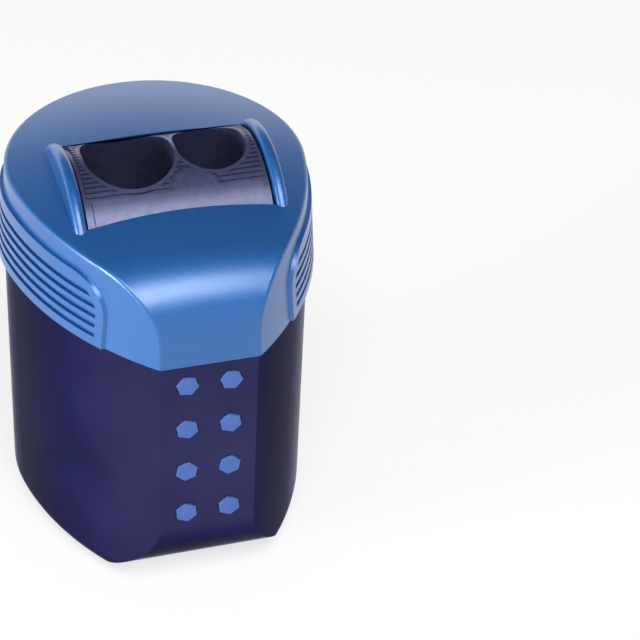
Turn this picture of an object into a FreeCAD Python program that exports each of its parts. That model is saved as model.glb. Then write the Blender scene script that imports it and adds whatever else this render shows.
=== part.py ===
import FreeCAD
import Part
import math
import os

# Sizes in millimetres and degrees. X runs across the front face, the front looks to -Y, Z is up.

# Plan outline: round back, two long side arcs, flat front.
back_radius = 25.0
side_radius = 53.0
side_blend_angle = 8.3
front_reach = 35.2

# Shavings container.
rim_height = 47.0
container_setback = 0.5
container_draft = 0.2
floor_thickness = 1.8
bottom_radius = 3.6
toe_radius = 16.0
neck_height = 4.5
neck_clearance = 0.3
neck_thickness = 1.1

# Grip pads on the front face.
pad_radius = 1.85
pad_proud = 0.2
pad_depth = 0.6
pad_column_x = 3.5
pad_first_drop = 4.1
pad_pitch = 8.5
pad_turns = (9.0, 20.0, 41.0, 24.0)

# Lid shell.
lid_height = 15.3
lid_wall = 1.5
lid_roof = 1.8
lid_draft = 1.0
dome_radius = 140.0
front_bend_radius = 12.0
lid_edge_radius = 0.7
opening_back = 9.1
opening_lip = 3.2

# Side grips of the lid.
grip_front_y = -22.6
grip_back_y = 19.4
grip_top_drop = 3.8
grip_proud = 0.55
grip_border = 1.3
grip_corner = 6.0
groove_count = 6
groove_pitch = 1.75
groove_width = 0.85
groove_first = 1.5

# Shutter drum and its cheeks.
drum_y = -1.0
drum_z = rim_height + 5.4
drum_radius = 15.0
drum_half_length = 14.7
drum_wall = 1.6
drum_end = 1.4
drum_gap = 0.4
shell_front_angle = -130.0
shell_back_angle = 110.0
strip_angle = -32.5
rib_depth = 0.45
rib_pitch_angle = 3.6
rib_width_angle = 2.0
rib_count = 22
mouth_lip = 0.6
mouth_reach = 2.3
tube_wall = 0.8
moon_x = 3.0
moon_radius = 3.6
moon_groove = 0.55
trunnion_radius = 2.5
trunnion_length = 1.7
bearing_clearance = 0.05
cheek_gap = 0.3
cheek_thickness = 2.0
cheek_radius = 15.8
cheek_round = 0.9

# Pencil axes, one line for both holes.
pencil_tilt = 13.0
entry_y = 1.6
entry_z = rim_height + 18.6
large_x = -5.8
small_x = 7.4
large_bore = 5.4
small_bore = 4.0
large_mouth = 7.2
small_mouth = 5.6
mouth_taper = 1.0

# Sharpener bodies, blades and blade screws.
apex_run = 52.6
cone_run = 19.6
body_wall = 0.8
body_shoulder_run = apex_run - 8.6
body_end_run = apex_run - 1.6
tip_hole = 0.9
large_spigot = 4.0
small_spigot = 3.0
seat_depth = 0.6
blade_width = 5.8
blade_length = 19.0
blade_thickness = 0.6
blade_overlap = 0.2
blade_start_run = apex_run - 19.2
blade_screw_offset = 3.3
blade_screw_run = apex_run - 9.1
blade_screw_radius = 0.9
blade_screw_length = 3.6
blade_screw_head = 1.9
blade_screw_head_height = 0.9

# Carrier inside the lid.
carrier_inset = 3.4
deck_bottom = rim_height + 1.5
deck_thickness = 1.6
deck_front_y = -14.0
tub_gap = 0.5
tub_wall = 1.4
sleeve_half = 13.2
sleeve_wall = 1.0
sleeve_back = 21.6
sleeve_bottom = rim_height - 17.7
sleeve_corner = 1.8
carrier_screw_x = back_radius - 6.0
carrier_screw_y = 1.7
carrier_screw_radius = 1.2
carrier_screw_length = 8.0
carrier_screw_head = 1.9
carrier_screw_head_height = 1.3
boss_radius = 2.45

# Latch plate and press tab.
plate_thickness = 1.9
tab_half = 8.7
tab_bottom = rim_height - 26.7
tab_top = rim_height - 11.5
tab_gap = 0.25
slit_half = 10.35
slit_height = 1.5
slit_leg = 4.7
tab_pivot_z = rim_height - 16.0
tab_pin_radius = 0.55
tab_pin_length = 1.2
thumb_radius = 6.8
thumb_proud = 0.6
nose_proud = 0.35

# Cassette frame.
cassette_half = 13.0
cassette_wall = 0.9
cassette_back = 19.4
cassette_foot = 2.0
cassette_under = 3.8
cassette_foot_back = 16.6
cassette_top = rim_height - 1.5
cassette_front_gap = 1.0
saddle_gap = 0.7
saddle_wall = 1.6
latch_bar_bottom = rim_height - 8.5
latch_bar_height = 2.2
latch_bar_depth = 1.9
cup_run = apex_run - 7.1
cup_wall = 1.0

V = FreeCAD.Vector
plan_y = (front_reach - back_radius) / 2
cavity_inset = lid_wall + neck_clearance + neck_thickness
lid_slope = lid_draft / lid_height
top_z = rim_height + lid_height
dome_rise = dome_radius - math.sqrt(dome_radius**2 - (back_radius - lid_draft) ** 2)
drum_axis = V(0, drum_y, drum_z)
cheek_x = drum_half_length + cheek_gap
tilt = math.radians(pencil_tilt)
down = V(0, math.sin(tilt), -math.cos(tilt))
forward = V(0, -math.cos(tilt), -math.sin(tilt))
large_body = large_bore + body_wall
small_body = small_bore + body_wall - 0.2
cassette_bottom = entry_z - body_end_run * math.cos(tilt) - cassette_under


def box(x0, x1, y0, y1, z0, z1):
    return Part.makeBox(x1 - x0, y1 - y0, z1 - z0, V(x0, y0, z0))


def fused(shapes):
    return shapes[0].multiFuse(shapes[1:]).removeSplitter()


def bar(x0, x1, points):
    """Prism along X from (y, z) points."""
    loop = [V(x0, y, z) for y, z in points]
    return Part.Face(Part.makePolygon(loop + loop[:1])).extrude(V(x1 - x0, 0, 0))


def filleted(shape, radius, pick):
    return shape.makeFillet(radius, [edge for edge in shape.Edges if pick(edge)])


def mirrored(shape):
    return shape.mirror(V(0, 0, 0), V(1, 0, 0))


def plan_wire(z, offset):
    """Outline at one height, moved outwards by the offset."""
    turn = math.radians(side_blend_angle)
    reach = side_radius - back_radius
    back, side = back_radius + offset, side_radius + offset
    cx, cy = -reach * math.cos(turn), plan_y + reach * math.sin(turn)
    front = plan_y - front_reach - offset
    blend = V(back * math.cos(turn), plan_y - back * math.sin(turn), z)
    corner = V(cx + math.sqrt(side**2 - (front - cy) ** 2), front, z)
    half = (math.atan2(corner.y - cy, corner.x - cx) - turn) / 2
    middle = V(cx + side * math.cos(half), cy + side * math.sin(half), z)

    def flip(p):
        return V(-p.x, p.y, p.z)

    edges = [
        Part.Arc(blend, V(0, plan_y + back, z), flip(blend)).toShape(),
        Part.Arc(flip(blend), flip(middle), flip(corner)).toShape(),
        Part.makeLine(flip(corner), corner),
        Part.Arc(corner, middle, blend).toShape(),
    ]
    return Part.Wire(edges)


def plan_prism(z0, offset0, z1, offset1):
    if offset0 == offset1:
        return Part.Face(plan_wire(z0, offset0)).extrude(V(0, 0, z1 - z0))
    return Part.makeLoft([plan_wire(z0, offset0), plan_wire(z1, offset1)], True, True)


def lid_prism(z0, z1, offset):
    """Prism that follows the draft of the lid wall."""
    low, high = (offset - lid_slope * (z - rim_height) for z in (z0, z1))
    return plan_prism(z0, low, z1, high)


def drum_cylinder(radius, half_length):
    return Part.makeCylinder(radius, 2 * half_length, drum_axis - V(half_length, 0, 0), V(1, 0, 0))


def drum_point(x, radius, angle):
    a = math.radians(angle)
    return V(x, drum_y + radius * math.sin(a), drum_z + radius * math.cos(a))


def drum_sector(r0, r1, a0, a1, x0, x1):
    """Ring sector round the drum axis; angles run from the top towards the back."""
    mid = (a0 + a1) / 2
    edges = [
        Part.makeLine(drum_point(x0, r0, a0), drum_point(x0, r1, a0)),
        Part.Arc(*[drum_point(x0, r1, a) for a in (a0, mid, a1)]).toShape(),
        Part.makeLine(drum_point(x0, r1, a1), drum_point(x0, r0, a1)),
        Part.Arc(*[drum_point(x0, r0, a) for a in (a1, mid, a0)]).toShape(),
    ]
    return Part.Face(Part.Wire(edges)).extrude(V(x1 - x0, 0, 0))


def pencil_point(x, run, front=0.0):
    """Point on a pencil axis, moved towards the front of the sharpener."""
    return V(x, entry_y, entry_z) + down * run + forward * front


def pencil_rod(x, radius, run0, run1):
    return Part.makeCylinder(radius, run1 - run0, pencil_point(x, run0), down)


def pencil_cone(x, radius0, radius1, run0, run1):
    return Part.makeCone(radius0, radius1, run1 - run0, pencil_point(x, run0), down)


def make_container():
    low, high = -container_setback - container_draft, -container_setback
    outer = plan_prism(0, low, rim_height, high)
    outer = filleted(outer, bottom_radius, lambda e: e.BoundBox.ZMax < 0.01)
    neck_top = rim_height + neck_height
    neck = lid_prism(rim_height - 1, neck_top, -lid_wall - neck_clearance)
    cavity = plan_prism(floor_thickness, -cavity_inset - container_draft, neck_top + 1, -cavity_inset)
    inner_radius = bottom_radius - floor_thickness
    cavity = filleted(cavity, inner_radius, lambda e: e.BoundBox.ZMax < floor_thickness + 0.01)
    outer = outer.cut(toe(toe_radius))
    cavity = cavity.cut(toe(toe_radius - floor_thickness))
    return fused([outer, neck]).cut(cavity).cut(Part.makeCompound(list(make_pads().values())))


def toe(radius):
    """Space in front of the rounded toe, where the front face runs back under the base."""
    y = plan_y - front_reach + container_setback + toe_radius
    block = box(-40, 40, y - 40, y, -40, toe_radius)
    return block.cut(Part.makeCylinder(radius, 80, V(-40, y, toe_radius), V(1, 0, 0)))


def is_front_crease(edge):
    b = edge.BoundBox
    upright = b.ZLength > 1 and b.XLength < 2 and b.YLength < 2
    return upright and b.YMax < plan_y - front_reach + 3


def make_pads():
    """Hexagonal inserts, seated in the front face and slightly proud."""
    face_y = plan_y - front_reach + container_setback
    pads = {}
    for row, turn in enumerate(pad_turns):
        z = rim_height - pad_first_drop - row * pad_pitch
        for column, x in enumerate((-pad_column_x, pad_column_x)):
            points = []
            for k in range(7):
                a = math.radians(60 * k + turn)
                corner = V(math.sin(a), 0, math.cos(a)) * pad_radius
                points.append(V(x, face_y - pad_proud, z) + corner)
            pad = Part.Face(Part.makePolygon(points)).extrude(V(0, pad_proud + pad_depth, 0))
            front = lambda e: e.BoundBox.YMax < face_y - pad_proud + 0.01
            pads["grip_pad_%d" % (2 * row + column + 1)] = filleted(pad, pad_proud * 0.6, front)
    return pads


def dome(drop):
    """Ball whose cap is the lid top, lowered by a drop."""
    radius = dome_radius - drop
    centre = V(0, plan_y, top_z + dome_rise - dome_radius)
    ball = Part.makeSphere(radius, centre, V(0, 1, 0))
    ball.rotate(centre, V(0, 1, 0), 180)
    return ball


def lid_form(offset, drop, bend):
    """Lid-shaped solid: drafted walls, domed top and a rounded front bend."""
    form = lid_prism(rim_height - 0.5 * (drop > 0), top_z + 5, offset).common(dome(drop))

    def is_front_top(edge):
        b = edge.BoundBox
        upper = b.ZMin > top_z - lid_height / 2
        return upper and b.YMax < plan_y - front_reach + 6 and b.XMin < 0 < b.XMax

    return filleted(form, bend, is_front_top)


def make_lid():
    outer = lid_form(0, 0, front_bend_radius)
    outer = filleted(outer, lid_edge_radius, lambda e: is_front_crease(e) or is_lid_ridge(e))
    shell = outer.cut(lid_form(-lid_wall, lid_roof, front_bend_radius - lid_roof))
    inside = lid_form(-lid_wall / 2, lid_roof / 2, front_bend_radius - lid_roof)
    webs = make_webs()
    bosses = [make_boss(x).common(inside) for x in (-carrier_screw_x, carrier_screw_x)]
    lip_half, lip_back = cheek_x + 0.5, opening_back + opening_lip
    lip = box(-lip_half, lip_half, opening_back, lip_back, drum_z + 3, top_z + 5)
    lid = fused([shell, *make_grips(), *webs, *bosses, lip.common(inside)])
    well = drum_cylinder(drum_radius + drum_gap, cheek_x)
    back_gap = box(-cheek_x, cheek_x, drum_y, opening_back, top_z - 6, top_z + 8)
    holes = [make_boss_hole(x) for x in (-carrier_screw_x, carrier_screw_x)]
    return lid.cut(well).cut(back_gap).cut(Part.makeCompound(holes))


def is_lid_ridge(edge):
    b = edge.BoundBox
    return b.ZMin > top_z - front_bend_radius - 2 and b.ZMax > top_z - 3 and b.DiagonalLength > 4


def make_webs():
    """Bearing webs under the roof that rise above it as rounded cheeks."""
    x0, x1 = cheek_x, cheek_x + cheek_thickness
    disc = Part.makeCylinder(cheek_radius, x1 - x0, V(x0, drum_y, drum_z), V(1, 0, 0))
    disc = filleted(disc, cheek_round, lambda e: e.BoundBox.XMax < x0 + 0.01 or e.BoundBox.XMin > x1 - 0.01)
    foot = max(rim_height + neck_height + 0.6, drum_z + 0.15)
    keep = box(x0, x1, -40, 40, foot, top_z + 20)
    pin = drum_cylinder(trunnion_radius + bearing_clearance, x1 + 5)
    web = disc.common(keep).common(lid_prism(rim_height, top_z + 20, -lid_wall / 2)).cut(pin)
    return [web, mirrored(web)]


def make_boss(x):
    return Part.makeCylinder(boss_radius, lid_height, V(x, carrier_screw_y, deck_bottom + deck_thickness))


def make_boss_hole(x):
    depth = carrier_screw_length - deck_thickness + 0.5
    start = V(x, carrier_screw_y, deck_bottom + deck_thickness)
    return Part.makeCylinder(carrier_screw_radius, depth, start)


def make_grips():
    """Raised side grips with level grooves between two borders."""
    top = top_z - grip_top_drop
    band = lid_prism(rim_height, top, grip_proud).cut(lid_prism(rim_height, top, -lid_wall / 2))
    zone = grip_zone(0, rim_height, top)
    cutters = []
    for k in range(groove_count):
        z = rim_height + groove_first + k * groove_pitch
        ring = lid_prism(z, z + groove_width, grip_proud + 1).cut(lid_prism(z, z + groove_width, 0))
        cutters.append(ring)
    inner = grip_zone(grip_border, rim_height - 5, top - grip_border)
    grooves = Part.makeCompound(cutters).common(inner)
    pad = band.common(zone).cut(grooves)
    return [pad, mirrored(pad)]


def grip_zone(inset, z0, z1):
    """Block over one side grip with rounded top corners."""
    zone = box(5, 40, grip_front_y + inset, grip_back_y - inset, z0, z1)
    top = lambda e: e.BoundBox.ZMin > z1 - 0.01 and e.BoundBox.YLength < 0.01
    return filleted(zone, max(grip_corner - inset, 0.5), top)


def make_drum():
    half = drum_half_length
    base = drum_radius - rib_depth
    inner = drum_radius - drum_wall - rib_depth
    shell = drum_sector(inner, base, shell_front_angle, shell_back_angle, -half, half)
    end_places = [V(x, drum_y, drum_z) for x in (-half, half - drum_end)]
    ends = [Part.makeCylinder(base, drum_end, place, V(1, 0, 0)) for place in end_places]
    strip = drum_sector(inner + 0.2, drum_radius, shell_front_angle, strip_angle, 1.2 - half, half - 1.2)
    pins = [
        Part.makeCylinder(trunnion_radius, trunnion_length + 0.5, V(x, drum_y, drum_z), V(1, 0, 0))
        for x in (half - 0.5, -half - trunnion_length)
    ]
    mouths = ((large_x, large_mouth), (small_x, small_mouth))
    ribs = Part.makeCompound(make_ribs(inner + 0.2, half)).cut(make_moon(moon_radius + moon_groove, 0))
    rims, tubes, bores = [], [], []
    for x, mouth in mouths:
        rims.append(mouth_funnel(x, mouth + mouth_lip, 0, 8))
        tubes.append(mouth_funnel(x, mouth + tube_wall, mouth_taper, 28))
        bores.append(mouth_funnel(x, mouth, mouth_taper, 34))
    lip_zone = drum_sector(inner + 0.2, drum_radius, -60, 80, -half, half)
    lips = [rim.common(lip_zone) for rim in rims]
    guides = [tube.common(drum_cylinder(base, half)) for tube in tubes]
    moon = make_moon(moon_radius, 0.5)
    drum = fused([shell, *ends, strip, ribs.cut(Part.makeCompound(rims)), moon, *lips, *guides, *pins])
    return drum.cut(Part.makeCompound(bores))


def mouth_wire(x, radius, run):
    """Round mouth across a pencil axis, drawn out towards the front."""
    back, front, side = pencil_point(x, run), pencil_point(x, run, mouth_reach), V(radius, 0, 0)
    edges = [
        Part.Arc(back + side, back - forward * radius, back - side).toShape(),
        Part.makeLine(back - side, front - side),
        Part.Arc(front - side, front + forward * radius, front + side).toShape(),
        Part.makeLine(front + side, back + side),
    ]
    return Part.Wire(edges)


def mouth_funnel(x, radius, taper, end_run):
    """Funnel from above the drum down to a run, narrower there by a taper."""
    return Part.makeLoft([mouth_wire(x, radius, -4), mouth_wire(x, radius - taper, end_run)], True, True)


def make_ribs(r0, half):
    starts = [strip_angle + 2.4 + k * rib_pitch_angle for k in range(rib_count)]
    return [drum_sector(r0, drum_radius, a, a + rib_width_angle, 0.6 - half, half - 0.6) for a in starts]


def make_moon(radius, overlap):
    """Smooth half-moon above the strip, between the two mouths."""
    foot = drum_point(moon_x, drum_radius - drum_wall, strip_angle)
    disc = Part.makeCylinder(radius, 10, foot, foot - V(moon_x, drum_y, drum_z))
    inner = drum_radius - drum_wall - rib_depth + 0.2
    return disc.common(drum_sector(inner, drum_radius, strip_angle - overlap, strip_angle + 30, -20, 20))


def make_body(x, bore, body, spigot):
    """Sharpener body: guide, cone, tip hole and the slanted seat for its blade."""
    outer = fused([pencil_rod(x, body, 15, body_shoulder_run), pencil_rod(x, spigot, 40, body_end_run)])
    cone_start = apex_run - cone_run
    guide = pencil_rod(x, bore, 10, cone_start)
    cone = pencil_cone(x, bore, 0, cone_start, apex_run)
    tip = pencil_rod(x, tip_hole, cone_start + 5, body_end_run + 5)
    hole = make_screw_shank(x, bore, 0.0)
    tools = [guide, cone, tip, drum_cylinder(drum_radius + tub_gap, 30), seat_block(x, bore), hole]
    for tool in tools:
        outer = outer.cut(tool)
    return outer


def seat_frame(x, bore):
    """Placement of the blade seat: X along the blade width, Y down the cone, Z off the seat."""
    slope = math.atan2(bore, cone_run)
    run_dir = down * math.cos(slope) - forward * math.sin(slope)
    off_dir = forward * math.cos(slope) + down * math.sin(slope)
    origin = pencil_point(x, apex_run) - off_dir * seat_depth
    turn = FreeCAD.Matrix()
    turn.A11, turn.A21, turn.A31 = -1, 0, 0
    turn.A12, turn.A22, turn.A32 = run_dir.x, run_dir.y, run_dir.z
    turn.A13, turn.A23, turn.A33 = off_dir.x, off_dir.y, off_dir.z
    turn.A14, turn.A24, turn.A34 = origin.x, origin.y, origin.z
    return FreeCAD.Placement(turn)


def placed(shape, x, bore):
    shape.Placement = seat_frame(x, bore)
    return shape


def seat_block(x, bore):
    return placed(box(-20, 20, -45, 10, 0, 20), x, bore)


def seat_y(bore, run):
    return (run - apex_run) * math.cos(math.atan2(bore, cone_run))


def make_screw_shank(x, bore, grow):
    y = seat_y(bore, blade_screw_run)
    start = V(blade_screw_offset, y, -blade_screw_length)
    return placed(Part.makeCylinder(blade_screw_radius + grow, blade_screw_length + 0.4, start), x, bore)


def make_blade(x, bore):
    y0 = seat_y(bore, blade_start_run)
    edge, bevel = -blade_overlap, 1.2
    loop = [(edge, 0), (blade_width, 0), (blade_width, blade_thickness), (edge + bevel, blade_thickness)]
    points = [V(px, y0, pz) for px, pz in loop + loop[:1]]
    blade = Part.Face(Part.makePolygon(points)).extrude(V(0, blade_length, 0))
    hole_at = V(blade_screw_offset, seat_y(bore, blade_screw_run), -1)
    hole = Part.makeCylinder(blade_screw_radius + 0.1, 4, hole_at)
    return placed(blade.cut(hole), x, bore)


def make_blade_screw(x, bore):
    centre = V(blade_screw_offset, seat_y(bore, blade_screw_run), 0)
    bottom = centre - V(0, 0, blade_screw_length)
    head_at = centre + V(0, 0, blade_thickness)
    shank = Part.makeCylinder(blade_screw_radius, blade_screw_length + blade_thickness, bottom)
    head = Part.makeCylinder(blade_screw_head, blade_screw_head_height, head_at)
    top = head_at.z + blade_screw_head_height - 0.01
    head = filleted(head, blade_screw_head_height * 0.5, lambda e: e.BoundBox.ZMin > top)
    slot = box(-5, 5, -0.3, 0.3, 0, 5)
    slot.translate(head_at + V(0, 0, blade_screw_head_height * 0.45))
    return placed(fused([shank, head]).cut(slot), x, bore)


def cassette_profile():
    """Side view of the cassette: slanted front, upright back that narrows to the foot."""
    front_top = pencil_point(0, apex_run - cone_run - 4, large_body + cassette_front_gap)
    front_low = pencil_point(0, apex_run, large_body + cassette_front_gap)
    slope = (front_low.y - front_top.y) / (front_top.z - front_low.z)
    foot_front = front_low.y + (front_low.z - cassette_bottom) * slope
    return [
        (front_top.y, front_top.z + 4),
        (front_top.y, front_top.z),
        (foot_front, cassette_bottom),
        (cassette_foot_back, cassette_bottom),
        (cassette_back, sleeve_bottom - 2),
        (cassette_back, cassette_top),
        (drum_y + drum_radius - 2, cassette_top),
    ]


def make_cassette():
    profile = cassette_profile()
    inner = cassette_half - cassette_wall
    whole = bar(-cassette_half, cassette_half, profile)
    sides = [bar(x, x + cassette_wall, profile) for x in (-cassette_half, inner)]
    saddle_inner = drum_radius + saddle_gap
    saddle = drum_sector(saddle_inner, saddle_inner + saddle_wall, 108, 182, -inner, inner).common(whole)
    foot = whole.common(box(-30, 30, -30, 60, cassette_bottom, cassette_bottom + cassette_foot))
    latch_bar = box(-inner, inner, cassette_back - latch_bar_depth, cassette_back,
                    latch_bar_bottom, latch_bar_bottom + latch_bar_height)
    cups = [
        pencil_rod(x, spigot + cup_wall, cup_run, body_end_run + 8).common(whole)
        for x, spigot in ((large_x, large_spigot), (small_x, small_spigot))
    ]
    frame = fused([*sides, saddle, foot, latch_bar, *cups])
    for x, body, spigot in ((large_x, large_body, large_spigot), (small_x, small_body, small_spigot)):
        frame = frame.cut(pencil_rod(x, body, 10, body_shoulder_run))
        frame = frame.cut(pencil_rod(x, spigot, 40, body_end_run))
        frame = frame.cut(pencil_rod(x, tip_hole + 0.4, 50, body_end_run + 10))
    for x, bore in ((large_x, large_bore), (small_x, small_bore)):
        frame = frame.cut(blade_room(x, bore))
    return frame.cut(drum_cylinder(saddle_inner, 30))


def blade_room(x, bore):
    """Free space in front of a blade, where the shavings leave."""
    low = seat_y(bore, blade_start_run) - 1
    return placed(box(-2.5, blade_width + 0.3, low, low + blade_length + 2, 0, 2.2), x, bore)


def make_carrier():
    plug = plan_prism(10, -carrier_inset, top_z, -carrier_inset)
    deck_top = deck_bottom + deck_thickness
    deck = box(-40, 40, deck_front_y, 60, deck_bottom, deck_top).common(plug)
    x1 = cheek_x + cheek_thickness
    tub_inner = drum_radius + tub_gap
    tub_outer = tub_inner + tub_wall
    below = box(-40, 40, -60, 60, 0, drum_z - 0.15)
    walls = drum_cylinder(tub_outer, x1).common(below).common(plug)
    hollow = drum_cylinder(tub_inner, cheek_x)
    sleeve = make_sleeve()
    body = fused([deck, walls, sleeve]).cut(hollow)
    body = body.cut(drum_cylinder(trunnion_radius + bearing_clearance, x1 + 5))
    front, back = drum_y - tub_inner, drum_y + tub_inner
    body = body.cut(box(-cheek_x, cheek_x, front, back, drum_z - 4, deck_top + 1))
    room = bar(-sleeve_half, sleeve_half, sleeve_room())
    body = body.cut(room)
    holes = [Part.makeCylinder(carrier_screw_radius + 0.3, 20, V(x, carrier_screw_y, deck_bottom - 10))
             for x in (-carrier_screw_x, carrier_screw_x)]
    bosses = [Part.makeCylinder(boss_radius + 0.3, 10, V(x, carrier_screw_y, deck_top))
              for x in (-carrier_screw_x, carrier_screw_x)]
    return body.cut(Part.makeCompound(holes)).cut(Part.makeCompound(bosses))


def sleeve_room():
    """Side view of the space that the cassette slides in."""
    front = cassette_profile()[1][0] - 0.3
    behind = drum_y + drum_radius + 0.2
    back = sleeve_back + 5
    upper = [(front, drum_z), (behind, drum_z), (behind, deck_bottom)]
    return [(front, 0), *upper, (back, deck_bottom), (back, 0)]


def make_sleeve():
    front = cassette_profile()[1][0] - 0.3
    outer = sleeve_half + sleeve_wall
    block = bar(-outer, outer, [
        (front, drum_z - 12), (front, sleeve_bottom + 5), (front + 5, sleeve_bottom),
        (sleeve_back, sleeve_bottom), (sleeve_back, deck_bottom + 0.5), (front, deck_bottom + 0.5),
    ])
    upright = lambda e: e.BoundBox.ZLength > 5 and e.BoundBox.YMin > sleeve_back - 0.01
    return filleted(block, sleeve_corner * 0.5, upright)


def make_carrier_screw(x):
    under = V(x, carrier_screw_y, deck_bottom)
    z = deck_bottom - carrier_screw_head_height
    head = Part.makeCylinder(carrier_screw_head, carrier_screw_head_height, V(x, carrier_screw_y, z))
    head = filleted(head, carrier_screw_head_height * 0.4, lambda e: e.BoundBox.ZMax < z + 0.01)
    shank = Part.makeCylinder(carrier_screw_radius, carrier_screw_length, under)
    cross = [box(-1.4, 1.4, -0.35, 0.35, -0.1, 0.8), box(-0.35, 0.35, -1.4, 1.4, -0.1, 0.8)]
    for arm in cross:
        arm.translate(V(x, carrier_screw_y, z))
    return fused([head, shank]).cut(Part.makeCompound(cross))


def make_latch_plate():
    y0 = sleeve_back - plate_thickness
    plate = box(-sleeve_half, sleeve_half, y0, sleeve_back, sleeve_bottom, deck_bottom)
    gap = tab_half + tab_gap
    window = box(-gap, gap, y0 - 1, sleeve_back + 1, sleeve_bottom - 1, tab_top + slit_height)
    legs_low = tab_top + slit_height - slit_leg
    legs = box(-slit_half, slit_half, y0 - 1, sleeve_back + 1, legs_low, tab_top + slit_height)
    legs = filleted(legs, 0.6, lambda e: e.BoundBox.YLength > plate_thickness)
    pin = Part.makeCylinder(tab_pin_radius + bearing_clearance, 4 * tab_half,
                            V(-2 * tab_half, sleeve_back - plate_thickness / 2, tab_pivot_z), V(1, 0, 0))
    pin = pin.common(box(-gap - tab_pin_length, gap + tab_pin_length, 0, 60, 0, 60))
    return plate.cut(window).cut(legs).cut(pin)


def make_press_tab():
    y0 = sleeve_back - plate_thickness
    tab = box(-tab_half, tab_half, y0, sleeve_back, tab_bottom, tab_top)
    tab = filleted(tab, 0.8, lambda e: e.BoundBox.YLength > 1 and e.BoundBox.ZMax < tab_bottom + 0.01)
    thumb_z = tab_bottom + 1.0
    thumb = Part.makeCylinder(thumb_radius, thumb_proud + 0.5, V(0, sleeve_back - 0.5, thumb_z), V(0, 1, 0))
    thumb = thumb.common(box(-20, 20, 0, 60, thumb_z, thumb_z + 20))
    thumb = filleted(thumb, thumb_proud * 0.5, lambda e: e.BoundBox.YMin > sleeve_back + thumb_proud - 0.01)
    reach = tab_half + tab_gap + tab_pin_length - 0.2
    pin_end = V(-reach, sleeve_back - plate_thickness / 2, tab_pivot_z)
    pin = Part.makeCylinder(tab_pin_radius, 2 * reach, pin_end, V(1, 0, 0))
    tip = y0 - nose_proud
    nose = bar(-3, 3, [(y0 + 0.2, tab_top), (tip, tab_top), (tip, tab_top - 0.8), (y0 + 0.2, tab_top - 2)])
    return fused([tab, thumb, pin, nose])


def make_all():
    parts = {
        "container": make_container(),
        "lid_shell": make_lid(),
        "shutter_drum": make_drum(),
        "carrier": make_carrier(),
        "carrier_screw_left": make_carrier_screw(-carrier_screw_x),
        "carrier_screw_right": make_carrier_screw(carrier_screw_x),
        "latch_plate": make_latch_plate(),
        "press_tab": make_press_tab(),
        "cassette_frame": make_cassette(),
        "large_sharpener": make_body(large_x, large_bore, large_body, large_spigot),
        "small_sharpener": make_body(small_x, small_bore, small_body, small_spigot),
        "large_blade": make_blade(large_x, large_bore),
        "small_blade": make_blade(small_x, small_bore),
        "large_blade_screw": make_blade_screw(large_x, large_bore),
        "small_blade_screw": make_blade_screw(small_x, small_bore),
    }
    parts.update(make_pads())
    return parts


def main():
    os.makedirs("parts", exist_ok=True)
    for name, shape in make_all().items():
        shape.exportStep("parts/%s.step" % name)


if __name__ == "__main__":
    main()
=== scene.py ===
"""Looks for a hand-held container pencil sharpener, laid out as an add-on and run as a script."""

import math

import bmesh
import bpy
from mathutils import Matrix, Vector


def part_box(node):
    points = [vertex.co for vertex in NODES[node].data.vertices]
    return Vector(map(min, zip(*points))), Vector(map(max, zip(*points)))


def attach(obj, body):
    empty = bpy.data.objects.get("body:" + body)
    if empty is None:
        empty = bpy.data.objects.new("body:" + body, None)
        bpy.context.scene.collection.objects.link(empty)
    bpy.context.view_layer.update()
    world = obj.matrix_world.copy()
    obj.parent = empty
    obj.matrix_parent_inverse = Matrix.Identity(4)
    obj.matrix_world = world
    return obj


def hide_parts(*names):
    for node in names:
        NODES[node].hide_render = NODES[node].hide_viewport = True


bl_info = {
    "name": "Container Sharpener Looks",
    "version": (1, 0, 0),
    "blender": (4, 5, 0),
    "location": "3D View > Sidebar > Sharpener",
    "description": "Finishes, grip pads, print and studio for a container pencil sharpener",
    "category": "Object",
}

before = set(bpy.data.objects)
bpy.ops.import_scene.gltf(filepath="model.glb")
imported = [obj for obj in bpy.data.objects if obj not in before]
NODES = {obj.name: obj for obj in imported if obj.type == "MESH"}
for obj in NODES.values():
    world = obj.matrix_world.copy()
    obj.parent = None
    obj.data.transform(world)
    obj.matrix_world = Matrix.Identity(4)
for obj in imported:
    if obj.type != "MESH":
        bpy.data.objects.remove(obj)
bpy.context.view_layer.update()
IMAGE_PIXELS = 640
SENSOR_MM = 36.0

PAD_NODES = tuple("grip_pad_%d" % k for k in range(1, 9))
BLACK_NODES = (
    "carrier", "latch_plate", "press_tab", "cassette_frame", "large_sharpener", "small_sharpener",
)
SCREW_NODES = ("carrier_screw_left", "carrier_screw_right", "large_blade_screw", "small_blade_screw")
BLADE_NODES = ("large_blade", "small_blade")
PAD_TURNS = (9.0, 20.0, 41.0, 24.0)
PAD_BEVEL = 0.00012
PAD_BEVEL_STEPS = 3
ARROW_DROP = 0.0005
ARROW_STEM_SHARE = 0.2
ARROW_NECK_SHARE = 0.55
PRINT_SINK = 0.00002

FLOOR_HALF = 3.0
FLOOR_DROP = 0.0002
SURROUND_COLOUR = (0.92, 0.95, 1.0, 1.0)
SURROUND_STRENGTH = 0.14
HORIZON_BAND = {"From Min": 0.2, "From Max": 0.4, "To Min": 1.0, "To Max": 0.0}
LAMP_AIM = (0.0, 0.0, 0.03)
WHITE, COOL_WHITE = (1.0, 1.0, 1.0), (0.93, 0.95, 1.0)
LAMPS = (
    ("key softbox", (-0.04, -0.6, 0.88), (0.75, 0.5), 11.5, WHITE),
    ("back softbox", (0.1, 0.95, 0.32), (1.4, 0.35), 1.6, COOL_WHITE),
    ("left strip", (-0.85, -0.2, 0.12), (0.3, 0.26), 8.5, WHITE),
    ("right strip", (0.85, -0.1, 0.2), (0.12, 0.3), 0.25, WHITE),
)


def colour_prop(name, words, value):
    return bpy.props.FloatVectorProperty(
        name=name, description=words, subtype="COLOR", size=4, min=0.0, max=1.0, default=(*value, 1.0)
    )


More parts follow.
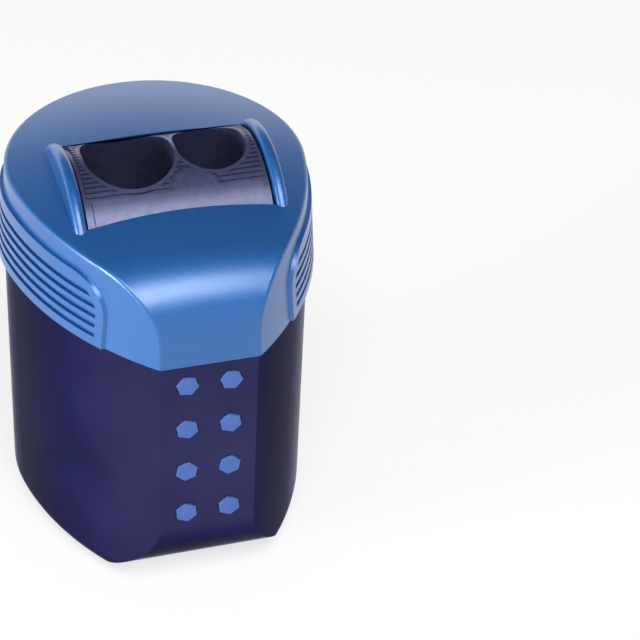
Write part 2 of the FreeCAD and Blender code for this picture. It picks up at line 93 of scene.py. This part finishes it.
def length_prop(name, words, value):
    return bpy.props.FloatProperty(
        name=name, description=words, subtype="DISTANCE", unit="LENGTH", min=0.0, default=value
    )


def angle_prop(name, words, degrees):
    return bpy.props.FloatProperty(
        name=name, description=words, subtype="ANGLE", unit="ROTATION", default=math.radians(degrees)
    )


class SharpenerFinishes(bpy.types.PropertyGroup):
    """Colours of the mouldings and metals."""

    lid: colour_prop("Lid", "Deep tone of the pearl blue lid", (0.004, 0.082, 0.305))
    lid_flake: colour_prop("Lid flake", "Light tone of the flakes in the lid", (0.014, 0.14, 0.38))
    container: colour_prop("Container", "Gloss navy of the shavings container", (0.031, 0.0305, 0.096))
    shutter: colour_prop("Shutter", "Satin navy of the shutter drum", (0.05, 0.056, 0.127))
    pad: colour_prop("Pads", "Flat blue of the grip pads", (0.047, 0.107, 0.355))
    insert: colour_prop("Insert", "Satin black of the carrier and cassette", (0.022, 0.022, 0.023))
    print: colour_prop("Print", "White of the printed arrow", (0.82, 0.82, 0.82))
    steel: colour_prop("Steel", "Ground steel of blades and screws", (0.56, 0.57, 0.60))


class SharpenerSizes(bpy.types.PropertyGroup):
    """Sizes of the detail that is made here."""

    pad_radius: length_prop("Pad radius", "Corner radius of one hexagonal pad", 0.00185)
    pad_proud: length_prop("Pad height", "How far a pad stands off the front face", 0.0002)
    pad_depth: length_prop("Pad depth", "How far a pad goes into the front face", 0.0006)
    arrow_length: length_prop("Arrow length", "Length of the printed arrow", 0.0062)
    arrow_width: length_prop("Arrow width", "Width of the arrow's head", 0.0038)
    print_height: length_prop("Print height", "Thickness of the print", 0.00006)
    flake_size: length_prop("Flake size", "Size of a flake in the lid", 0.00006)


class SharpenerStage(bpy.types.PropertyGroup):
    """Camera and studio."""

    azimuth: angle_prop("Azimuth", "Camera angle round the object", -13.837)
    elevation: angle_prop("Elevation", "Camera angle above the floor", 34.546)
    distance: length_prop("Distance", "Camera to the middle of the lid rim", 0.4)
    focal_pixels: bpy.props.FloatProperty(
        name="Focal length", description="In pixels of the picture", min=1.0, default=2443.2
    )
    aim_pixel: bpy.props.FloatVectorProperty(
        name="Aim pixel", description="Where the middle of the lid rim is in the picture", size=2,
        default=(155.4, 236.0)
    )
    aim_point: bpy.props.FloatVectorProperty(
        name="Aim point", description="Middle of the lid rim's round back", size=3, subtype="XYZ",
        default=(0.0, 0.0051, 0.047)
    )
    floor: colour_prop("Floor", "Pale floor", (0.95, 0.95, 0.95))
    floor_glow: bpy.props.FloatProperty(
        name="Floor white", description="Share of plain white in the floor that the camera sees",
        subtype="FACTOR", min=0.0, max=1.0, default=0.7
    )


class Nodes:
    """Short way to lay out one material's nodes."""

    def __init__(self, name):
        self.material = bpy.data.materials.new(name)
        self.material.use_nodes = True
        self.tree = self.material.node_tree
        self.shader = self.tree.nodes["Principled BSDF"]

    def add(self, kind, **settings):
        node = self.tree.nodes.new(kind)
        for key, value in settings.items():
            setattr(node, key, value)
        return node

    def link(self, a, b):
        self.tree.links.new(a, b)

    def set(self, **values):
        for key, value in values.items():
            self.shader.inputs[key.replace("_", " ")].default_value = value

    def coordinates(self):
        return self.add("ShaderNodeTexCoord").outputs["Object"]

    def noise(self, scale, detail=3.0, rough=0.55):
        node = self.add("ShaderNodeTexNoise")
        node.inputs["Scale"].default_value = scale
        node.inputs["Detail"].default_value = detail
        node.inputs["Roughness"].default_value = rough
        self.link(self.coordinates(), node.inputs["Vector"])
        return node.outputs["Fac"]

    def ramp(self, factor, stops):
        node = self.add("ShaderNodeValToRGB")
        ends = node.color_ramp.elements
        while len(ends) < len(stops):
            ends.new(0.5)
        for end, (place, colour) in zip(ends, stops):
            end.position = place
            end.color = colour
        self.link(factor, node.inputs["Fac"])
        return node.outputs["Color"]

    def spread(self, factor, low, high):
        node = self.add("ShaderNodeMapRange")
        node.inputs["To Min"].default_value = low
        node.inputs["To Max"].default_value = high
        self.link(factor, node.inputs["Value"])
        return node.outputs["Result"]

    def bump(self, height, strength, distance, normal=None):
        node = self.add("ShaderNodeBump")
        node.inputs["Strength"].default_value = strength
        node.inputs["Distance"].default_value = distance
        self.link(height, node.inputs["Height"])
        if normal is not None:
            self.link(normal, node.inputs["Normal"])
        return node.outputs["Normal"]


def tinted(colour, factor):
    return tuple(min(1.0, c * factor) for c in colour[:3]) + (1.0,)


def pearl_blue():
    """Metallic flake in blue plastic under a thin clear skin."""
    look = bpy.context.scene.sharpener_finishes
    size = bpy.context.scene.sharpener_sizes.flake_size
    m = Nodes("pearl blue lid")
    flakes = m.add("ShaderNodeTexVoronoi")
    flakes.inputs["Scale"].default_value = 1.0 / size
    m.link(m.coordinates(), flakes.inputs["Vector"])
    grain = m.add("ShaderNodeSeparateColor")
    m.link(flakes.outputs["Color"], grain.inputs["Color"])
    tone = m.ramp(grain.outputs["Red"], [
        (0.0, tinted(look.lid, 0.95)), (0.5, tinted(look.lid, 1.1)), (1.0, tuple(look.lid_flake))])
    m.link(tone, m.shader.inputs["Base Color"])
    m.link(m.spread(grain.outputs["Green"], 0.42, 0.56), m.shader.inputs["Roughness"])
    fine = m.bump(grain.outputs["Blue"], 0.05, 0.00003)
    m.link(m.bump(m.noise(260.0), 0.03, 0.0003, fine), m.shader.inputs["Normal"])
    m.set(Metallic=0.45, Specular_IOR_Level=0.15, Coat_Weight=1.0, Coat_Roughness=0.32, Coat_IOR=1.6, IOR=1.5)
    return m.material


def navy_gloss():
    """Polished moulding: deep navy with a faint swirl in tone and gloss."""
    look = bpy.context.scene.sharpener_finishes
    m = Nodes("navy gloss container")
    tone = m.ramp(m.noise(55.0, 4.0), [
        (0.35, tinted(look.container, 0.85)), (0.65, tinted(look.container, 1.15))])
    m.link(tone, m.shader.inputs["Base Color"])
    m.link(m.spread(m.noise(420.0, 2.0), 0.20, 0.28), m.shader.inputs["Roughness"])
    m.link(m.bump(m.noise(140.0, 2.0), 0.02, 0.0002), m.shader.inputs["Normal"])
    m.set(Metallic=0.78, Specular_IOR_Level=0.08, Specular_Tint=(0.12, 0.12, 0.24, 1.0), IOR=1.5)
    return m.material


def navy_satin():
    """Satin moulding of the shutter, with a fine spark-eroded grain."""
    look = bpy.context.scene.sharpener_finishes
    m = Nodes("navy satin shutter")
    tone = m.ramp(m.noise(900.0, 3.0), [(0.3, tinted(look.shutter, 0.85)), (0.7, tinted(look.shutter, 1.2))])
    m.link(tone, m.shader.inputs["Base Color"])
    m.link(m.spread(m.noise(2400.0, 2.0), 0.26, 0.38), m.shader.inputs["Roughness"])
    m.link(m.bump(m.noise(5200.0, 2.0), 0.05, 0.00004), m.shader.inputs["Normal"])
    m.set(Metallic=0.35, Specular_IOR_Level=0.5, IOR=1.5)
    return m.material


def pad_blue():
    """Flat blue insert with a soft, slightly mottled skin."""
    look = bpy.context.scene.sharpener_finishes
    m = Nodes("flat blue pad")
    tone = m.ramp(m.noise(700.0, 3.0), [(0.3, tinted(look.pad, 0.93)), (0.7, tinted(look.pad, 1.06))])
    m.link(tone, m.shader.inputs["Base Color"])
    m.link(m.spread(m.noise(3000.0, 2.0), 0.5, 0.62), m.shader.inputs["Roughness"])
    m.link(m.bump(m.noise(6000.0, 2.0), 0.06, 0.00004), m.shader.inputs["Normal"])
    m.set(IOR=1.47)
    return m.material


def insert_black():
    """Eroded satin black of the carrier, latch and cassette."""
    look = bpy.context.scene.sharpener_finishes
    m = Nodes("satin black insert")
    tone = m.ramp(m.noise(350.0, 4.0), [(0.3, tinted(look.insert, 0.8)), (0.7, tinted(look.insert, 1.3))])
    m.link(tone, m.shader.inputs["Base Color"])
    m.link(m.spread(m.noise(1800.0, 3.0), 0.38, 0.52), m.shader.inputs["Roughness"])
    m.link(m.bump(m.noise(4200.0, 2.0), 0.12, 0.00005), m.shader.inputs["Normal"])
    m.set(IOR=1.5)
    return m.material


def ground_steel(name, stretch):
    """Steel with fine grinding lines along one direction."""
    look = bpy.context.scene.sharpener_finishes
    m = Nodes(name)
    lines = m.add("ShaderNodeMapping")
    lines.inputs["Scale"].default_value = stretch
    m.link(m.coordinates(), lines.inputs["Vector"])
    grain = m.add("ShaderNodeTexNoise")
    grain.inputs["Scale"].default_value = 900.0
    m.link(lines.outputs["Vector"], grain.inputs["Vector"])
    fac = grain.outputs["Fac"]
    tone = m.ramp(fac, [(0.3, tinted(look.steel, 0.85)), (0.7, tinted(look.steel, 1.1))])
    m.link(tone, m.shader.inputs["Base Color"])
    m.link(m.spread(fac, 0.22, 0.4), m.shader.inputs["Roughness"])
    m.link(m.bump(fac, 0.08, 0.00004), m.shader.inputs["Normal"])
    m.set(Metallic=1.0)
    return m.material


def print_white():
    """Pad print: off-white ink with a slightly uneven film."""
    look = bpy.context.scene.sharpener_finishes
    m = Nodes("white print")
    tone = m.ramp(m.noise(1500.0, 3.0), [(0.3, tinted(look.print, 0.95)), (0.7, tuple(look.print))])
    m.link(tone, m.shader.inputs["Base Color"])
    m.link(m.spread(m.noise(2600.0, 2.0), 0.5, 0.65), m.shader.inputs["Roughness"])
    return m.material


def paint(names, material):
    """Gives CAD nodes one material in every slot."""
    missing = [name for name in names if name not in NODES]
    if missing:
        raise RuntimeError("nodes missing from the frame: " + ", ".join(missing))
    for name in names:
        mesh = NODES[name].data
        mesh.materials.clear()
        mesh.materials.append(material)


def new_piece(name, mesh, material, body):
    """Object at the origin that moves with a body."""
    piece = bpy.data.objects.new(name, mesh)
    bpy.context.scene.collection.objects.link(piece)
    if material.name not in mesh.materials:
        mesh.materials.append(material)
    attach(piece, body)
    return piece


def socket(tree, name, kind, direction):
    return tree.interface.new_socket(name, in_out=direction, socket_type=kind).identifier


def pad_tree(material):
    """Node tree: one hexagon on every point, turned by the point's own angle."""
    tree = bpy.data.node_groups.new("grip pad rows", "GeometryNodeTree")
    socket(tree, "Geometry", "NodeSocketGeometry", "INPUT")
    ids = {name: socket(tree, name, "NodeSocketFloat", "INPUT") for name in ("Radius", "Proud", "Depth")}
    socket(tree, "Geometry", "NodeSocketGeometry", "OUTPUT")
    n, link = tree.nodes, tree.links.new
    enter, leave = n.new("NodeGroupInput"), n.new("NodeGroupOutput")
    height = n.new("ShaderNodeMath")
    link(enter.outputs["Proud"], height.inputs[0])
    link(enter.outputs["Depth"], height.inputs[1])
    hexagon = n.new("GeometryNodeMeshCone")
    hexagon.inputs["Vertices"].default_value = 6
    link(enter.outputs["Radius"], hexagon.inputs["Radius Top"])
    link(enter.outputs["Radius"], hexagon.inputs["Radius Bottom"])
    link(height.outputs[0], hexagon.inputs["Depth"])
    turn = n.new("GeometryNodeInputNamedAttribute")
    turn.data_type = "FLOAT_VECTOR"
    turn.inputs["Name"].default_value = "pad_turn"
    instances = n.new("GeometryNodeInstanceOnPoints")
    link(enter.outputs["Geometry"], instances.inputs["Points"])
    link(hexagon.outputs["Mesh"], instances.inputs["Instance"])
    link(turn.outputs["Attribute"], instances.inputs["Rotation"])
    solid = n.new("GeometryNodeRealizeInstances")
    link(instances.outputs["Instances"], solid.inputs["Geometry"])
    coat = n.new("GeometryNodeSetMaterial")
    coat.inputs["Material"].default_value = material
    link(solid.outputs["Geometry"], coat.inputs["Geometry"])
    link(coat.outputs["Geometry"], leave.inputs["Geometry"])
    return tree, ids


def pad_points():
    """One vertex in the middle of each pad's inner end, with the turn of its row."""
    places, turns = [], []
    for k, name in enumerate(PAD_NODES):
        low, high = (Vector(p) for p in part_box(name))
        places.append(((low.x + high.x) / 2, high.y, (low.z + high.z) / 2))
        turns.append((math.radians(90.0), math.radians(PAD_TURNS[k // 2]), 0.0))
    mesh = bpy.data.meshes.new("pad points")
    mesh.from_pydata(places, [], [])
    layer = mesh.attributes.new("pad_turn", "FLOAT_VECTOR", "POINT")
    layer.data.foreach_set("vector", [c for turn in turns for c in turn])
    return mesh


def softened(piece, width, segments):
    """Bevel that rounds a piece's edges."""
    bevel = piece.modifiers.new("soft edges", "BEVEL")
    bevel.width = width
    bevel.segments = segments
    bevel.limit_method = "ANGLE"


class SHARPENER_OT_lid(bpy.types.Operator):
    """Pearl blue lid."""

    bl_idname = "sharpener.lid"
    bl_label = "Lid"

    def execute(self, context):
        paint(["lid_shell"], pearl_blue())
        return {"FINISHED"}


class SHARPENER_OT_container(bpy.types.Operator):
    """Gloss navy container."""

    bl_idname = "sharpener.container"
    bl_label = "Container"

    def execute(self, context):
        paint(["container"], navy_gloss())
        return {"FINISHED"}


class SHARPENER_OT_pads(bpy.types.Operator):
    """Hexagonal grip pads on the front face."""

    bl_idname = "sharpener.pads"
    bl_label = "Grip pads"

    def execute(self, context):
        sizes = context.scene.sharpener_sizes
        material = pad_blue()
        tree, ids = pad_tree(material)
        maker = bpy.data.objects.new("pad maker", pad_points())
        context.scene.collection.objects.link(maker)
        rows = maker.modifiers.new("rows", "NODES")
        rows.node_group = tree
        rows[ids["Radius"]] = sizes.pad_radius
        rows[ids["Proud"]] = sizes.pad_proud
        rows[ids["Depth"]] = sizes.pad_depth
        mesh = bpy.data.meshes.new_from_object(maker.evaluated_get(context.evaluated_depsgraph_get()))
        maker.modifiers.remove(rows)
        bpy.data.objects.remove(maker)
        if not mesh.polygons:
            raise RuntimeError("the pad rows came out empty")
        mesh.name = "grip_pads"
        pads = new_piece("grip_pads", mesh, material, "container_body")
        softened(pads, PAD_BEVEL, PAD_BEVEL_STEPS)
        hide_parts(*PAD_NODES)
        return {"FINISHED"}


class SHARPENER_OT_shutter(bpy.types.Operator):
    """Satin navy shutter drum."""

    bl_idname = "sharpener.shutter"
    bl_label = "Shutter"

    def execute(self, context):
        paint(["shutter_drum"], navy_satin())
        return {"FINISHED"}


class SHARPENER_OT_insert(bpy.types.Operator):
    """Black carrier, latch and cassette."""

    bl_idname = "sharpener.insert"
    bl_label = "Black insert"

    def execute(self, context):
        paint(BLACK_NODES, insert_black())
        return {"FINISHED"}


class SHARPENER_OT_steel(bpy.types.Operator):
    """Ground blades and screws."""

    bl_idname = "sharpener.steel"
    bl_label = "Blades and screws"

    def execute(self, context):
        paint(BLADE_NODES, ground_steel("ground blade", (0.2, 6.0, 6.0)))
        paint(SCREW_NODES, ground_steel("turned screw", (4.0, 4.0, 0.5)))
        return {"FINISHED"}


class SHARPENER_OT_arrow(bpy.types.Operator):
    """Plain arrow on the press tab."""

    bl_idname = "sharpener.arrow"
    bl_label = "Arrow"

    def execute(self, context):
        sizes = context.scene.sharpener_sizes
        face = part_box("latch_plate")[1][1]
        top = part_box("press_tab")[1][2] - ARROW_DROP
        half, stem = sizes.arrow_width / 2, sizes.arrow_width * ARROW_STEM_SHARE
        neck, tip = top - sizes.arrow_length * ARROW_NECK_SHARE, top - sizes.arrow_length
        outline = [
            (-stem, top), (stem, top), (stem, neck), (half, neck), (0.0, tip), (-half, neck), (-stem, neck),
        ]
        mesh = bpy.data.meshes.new("arrow_print")
        bm = bmesh.new()
        loop = [bm.verts.new((x, face - PRINT_SINK, z)) for x, z in outline]
        sheet = bm.faces.new(loop)
        grown = bmesh.ops.extrude_face_region(bm, geom=[sheet])
        moved = [v for v in grown["geom"] if isinstance(v, bmesh.types.BMVert)]
        bmesh.ops.translate(bm, verts=moved, vec=(0.0, sizes.print_height, 0.0))
        bmesh.ops.recalc_face_normals(bm, faces=bm.faces)
        bm.to_mesh(mesh)
        bm.free()
        new_piece("arrow_print", mesh, print_white(), "latch_body")
        return {"FINISHED"}


def area_light(name, place, size, power, colour):
    """Soft rectangular lamp turned to the object."""
    data = bpy.data.lights.new(name, "AREA")
    data.shape = "RECTANGLE"
    data.size, data.size_y = size
    data.energy = power
    data.color = colour
    lamp = bpy.data.objects.new(name, data)
    lamp.location = place
    lamp.rotation_euler = (Vector(LAMP_AIM) - Vector(place)).to_track_quat("-Z", "Y").to_euler()
    bpy.context.scene.collection.objects.link(lamp)


def studio_camera(stage):
    """Camera turned so that the aim point lands on the aim pixel, with no lens shift."""
    az, el = stage.azimuth, stage.elevation
    back = Vector((math.sin(az) * math.cos(el), -math.cos(az) * math.cos(el), math.sin(el)))
    right = Vector((math.cos(az), math.sin(az), 0.0))
    axes = Matrix((right, back.cross(right), back)).transposed()
    half = IMAGE_PIXELS / 2
    ray = Vector((
        (stage.aim_pixel[0] - half) / stage.focal_pixels,
        (half - stage.aim_pixel[1]) / stage.focal_pixels,
        -1.0,
    ))
    turn = ray.normalized().rotation_difference(Vector((0.0, 0.0, -1.0))).to_matrix()
    data = bpy.data.cameras.new("studio camera")
    data.sensor_width = SENSOR_MM
    data.lens = stage.focal_pixels / IMAGE_PIXELS * SENSOR_MM
    data.clip_start = 0.01
    camera = bpy.data.objects.new("studio camera", data)
    place = Matrix.Translation(Vector(stage.aim_point) + back * stage.distance)
    camera.matrix_world = place @ (axes @ turn).to_4x4()
    bpy.context.scene.collection.objects.link(camera)
    bpy.context.scene.camera = camera


def seen_rays(tree):
    """Factor of 1 for camera, glossy and transmission rays."""
    ray = tree.nodes.new("ShaderNodeLightPath")
    seen = ray.outputs["Is Camera Ray"]
    for kind in ("Is Glossy Ray", "Is Transmission Ray"):
        either = tree.nodes.new("ShaderNodeMath")
        either.operation = "MAXIMUM"
        tree.links.new(seen, either.inputs[0])
        tree.links.new(ray.outputs[kind], either.inputs[1])
        seen = either.outputs[0]
    return seen


def whiten(m, share):
    """Mixes plain white into a floor where the camera, a gloss or a clear piece sees it."""
    part = m.add("ShaderNodeMath", operation="MULTIPLY")
    part.inputs[1].default_value = share
    m.link(seen_rays(m.tree), part.inputs[0])
    mix = m.add("ShaderNodeMixShader")
    m.link(part.outputs[0], mix.inputs["Fac"])
    m.link(m.shader.outputs["BSDF"], mix.inputs[1])
    m.link(m.add("ShaderNodeEmission").outputs["Emission"], mix.inputs[2])
    m.link(mix.outputs["Shader"], m.tree.nodes["Material Output"].inputs["Surface"])


def studio_floor(stage):
    """Pale floor under the object."""
    mesh = bpy.data.meshes.new("floor")
    bm = bmesh.new()
    bmesh.ops.create_grid(bm, x_segments=1, y_segments=1, size=FLOOR_HALF)
    bm.to_mesh(mesh)
    bm.free()
    m = Nodes("pale floor")
    tone = m.ramp(m.noise(3.0), [(0.3, tinted(stage.floor, 0.99)), (0.7, tuple(stage.floor))])
    m.link(tone, m.shader.inputs["Base Color"])
    m.set(Roughness=0.9)
    whiten(m, stage.floor_glow)
    mesh.materials.append(m.material)
    floor = bpy.data.objects.new("floor", mesh)
    floor.location.z = -FLOOR_DROP
    bpy.context.scene.collection.objects.link(floor)


def studio_world():
    """Even pale surround, with a white horizon where the camera, a gloss or a clear piece sees it."""
    world = bpy.data.worlds.new("studio surround")
    world.use_nodes = True
    n, link = world.node_tree.nodes, world.node_tree.links.new
    light = n["Background"]
    light.inputs["Color"].default_value = SURROUND_COLOUR
    light.inputs["Strength"].default_value = SURROUND_STRENGTH
    white = n.new("ShaderNodeBackground")
    white.inputs["Color"].default_value = (1.0, 1.0, 1.0, 1.0)
    axes = n.new("ShaderNodeSeparateXYZ")
    link(n.new("ShaderNodeTexCoord").outputs["Generated"], axes.inputs["Vector"])
    band = n.new("ShaderNodeMapRange")
    for name, value in HORIZON_BAND.items():
        band.inputs[name].default_value = value
    link(axes.outputs["Z"], band.inputs["Value"])
    share = n.new("ShaderNodeMath")
    share.operation = "MULTIPLY"
    link(band.outputs["Result"], share.inputs[0])
    link(seen_rays(world.node_tree), share.inputs[1])
    mix = n.new("ShaderNodeMixShader")
    link(share.outputs[0], mix.inputs["Fac"])
    link(light.outputs["Background"], mix.inputs[1])
    link(white.outputs["Background"], mix.inputs[2])
    link(mix.outputs["Shader"], n["World Output"].inputs["Surface"])
    bpy.context.scene.world = world


class SHARPENER_OT_stage(bpy.types.Operator):
    """Pale floor, soft lamps and the camera."""

    bl_idname = "sharpener.stage"
    bl_label = "Studio"

    def execute(self, context):
        stage = context.scene.sharpener_stage
        context.scene.view_settings.view_transform = "Standard"
        studio_floor(stage)
        studio_world()
        for lamp in LAMPS:
            area_light(*lamp)
        studio_camera(stage)
        return {"FINISHED"}


OPERATORS = (
    SHARPENER_OT_lid,
    SHARPENER_OT_container,
    SHARPENER_OT_pads,
    SHARPENER_OT_shutter,
    SHARPENER_OT_insert,
    SHARPENER_OT_steel,
    SHARPENER_OT_arrow,
    SHARPENER_OT_stage,
)


class SHARPENER_PT_panel(bpy.types.Panel):
    """Buttons for the pieces and the studio."""

    bl_idname = "SHARPENER_PT_panel"
    bl_label = "Container Sharpener"
    bl_space_type = "VIEW_3D"
    bl_region_type = "UI"
    bl_category = "Sharpener"

    def draw(self, context):
        for operator in OPERATORS:
            self.layout.operator(operator.bl_idname)
        for group in ("sharpener_finishes", "sharpener_sizes", "sharpener_stage"):
            settings = getattr(context.scene, group)
            for key in settings.__annotations__:
                self.layout.prop(settings, key)


GROUPS = {
    "sharpener_finishes": SharpenerFinishes,
    "sharpener_sizes": SharpenerSizes,
    "sharpener_stage": SharpenerStage,
}


def register():
    for kind in (*GROUPS.values(), *OPERATORS, SHARPENER_PT_panel):
        bpy.utils.register_class(kind)
    for name, kind in GROUPS.items():
        setattr(bpy.types.Scene, name, bpy.props.PointerProperty(type=kind))


def unregister():
    for name in GROUPS:
        delattr(bpy.types.Scene, name)
    for kind in (SHARPENER_PT_panel, *reversed(OPERATORS), *reversed(list(GROUPS.values()))):
        bpy.utils.unregister_class(kind)


def main():
    register()
    bpy.ops.sharpener.lid()
    bpy.ops.sharpener.container()
    bpy.ops.sharpener.pads()
    bpy.ops.sharpener.shutter()
    bpy.ops.sharpener.insert()
    bpy.ops.sharpener.steel()
    bpy.ops.sharpener.arrow()
    bpy.ops.sharpener.stage()


if __name__ == "__main__":
    main()
